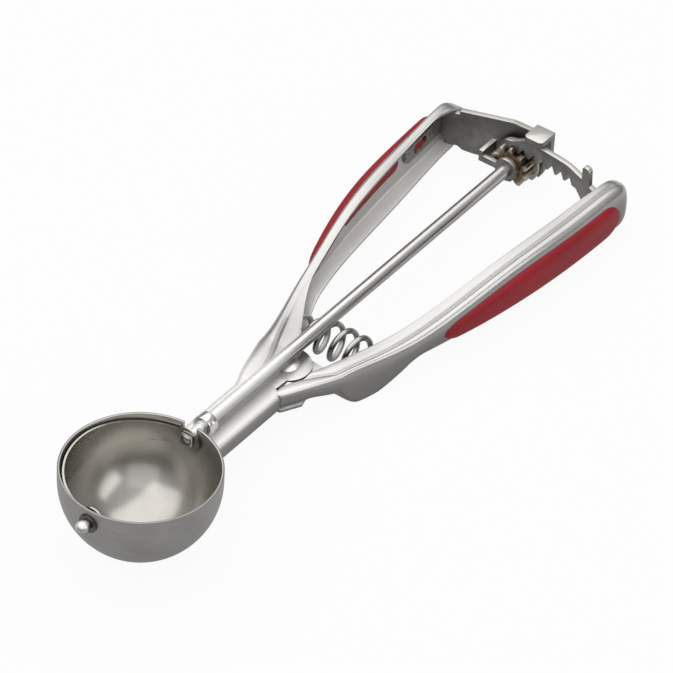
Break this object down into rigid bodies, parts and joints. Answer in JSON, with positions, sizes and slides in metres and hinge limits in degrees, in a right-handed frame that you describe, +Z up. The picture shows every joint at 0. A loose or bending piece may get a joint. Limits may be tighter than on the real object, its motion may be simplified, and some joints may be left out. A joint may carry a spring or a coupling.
{
  "type": "ice cream scoop",
  "caption": "Squeeze-handle ice cream scoop: closing the handles turns a scraper strip in the steel bowl through a rack, pinion and rod.",
  "frame": {"origin": "the point where the bowl touches the table", "axes": "+X along the table from the bowl to the handles, +Y to the fixed handle, +Z up, out of the bowl"},
  "size_m": [0.2362, 0.076, 0.0365],
  "materials": {
    "satin_steel": "satin brushed stainless sheet",
    "bowl_steel": "stainless, brushed outside and polished inside",
    "bright_steel": "drawn stainless wire and rod",
    "plate_steel": "dark blanked steel plate",
    "dark_steel": "turned dark steel",
    "gear_steel": "sintered steel",
    "brass_bush": "bearing bronze",
    "red_silicone": "matt red silicone"
  },
  "bodies": {
    "frame": {"bowl": "bowl_steel", "front_bushing": "dark_steel", "left_handle": "satin_steel", "left_grip": "red_silicone", "front_bearing": "satin_steel", "gear_bracket": "plate_steel", "rear_bushing": "brass_bush", "bracket_welds": "plate_steel", "pivot_rivet": "bright_steel", "pivot_washer": "satin_steel", "spring": "bright_steel"},
    "lever": {"right_handle": "satin_steel", "right_grip": "red_silicone", "gear_rack": "plate_steel", "rack_welds": "plate_steel"},
    "drive": {"drive_rod": "bright_steel", "pinion": "gear_steel", "pinion_flange": "gear_steel", "thrust_washer": "gear_steel", "rod_end_collar": "satin_steel", "scraper": "bowl_steel", "scraper_washer": "satin_steel", "front_pin": "bright_steel"}
  },
  "joints": [
    {"name": "lever_squeeze", "type": "hinge", "parent": "frame", "child": "lever", "pos_m": [0.07291, 0, 0.01065], "axis": [0.0998, 0, 0.995], "range_deg": [0, 8.08], "stiffness_Nm_per_rad": 1.1, "springref_deg": -22.92, "deforming": ["spring"]},
    {"name": "scraper_sweep", "type": "hinge", "parent": "frame", "child": "drive", "pos_m": [0, 0, 0.0252], "axis": [-0.995, 0, 0.0998], "range_deg": [0, 160.1]}
  ],
  "couplings": [
    {"joint": "scraper_sweep", "follows": "lever_squeeze", "ratio": 19.808}
  ]
}
